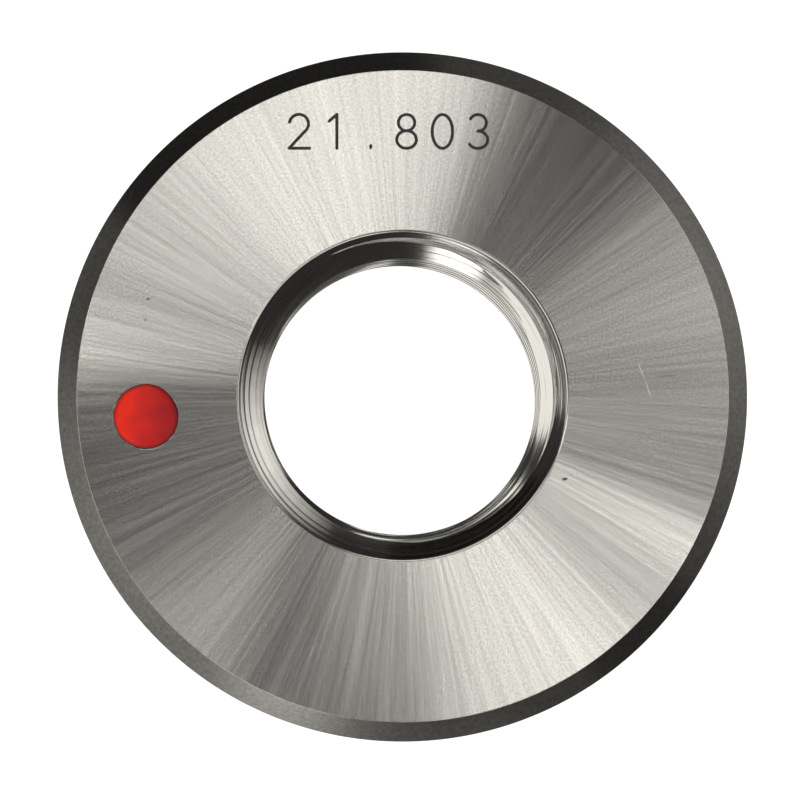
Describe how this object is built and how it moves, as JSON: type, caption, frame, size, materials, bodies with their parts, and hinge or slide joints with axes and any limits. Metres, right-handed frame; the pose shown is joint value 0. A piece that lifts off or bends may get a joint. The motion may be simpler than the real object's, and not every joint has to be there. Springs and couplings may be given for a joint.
{
  "type": "thread ring gauge",
  "caption": "Solid NOT GO thread ring gauge: a ground steel ring with a right-hand threaded bore, countersunk mouths and a red dot on its marked face.",
  "frame": {"origin": "centre of the back face, on the axis of the bore", "axes": "+Z along the bore, out of the marked face; +Y towards the top of the marking; the red dot is on the -X side"},
  "size_m": [0.053, 0.053, 0.0162],
  "materials": {
    "gauge_steel": "ground and lapped",
    "red_enamel": "glossy enamel"
  },
  "bodies": {
    "root": {"gauge_ring": "gauge_steel", "red_dot": "red_enamel"}
  },
  "joints": []
}
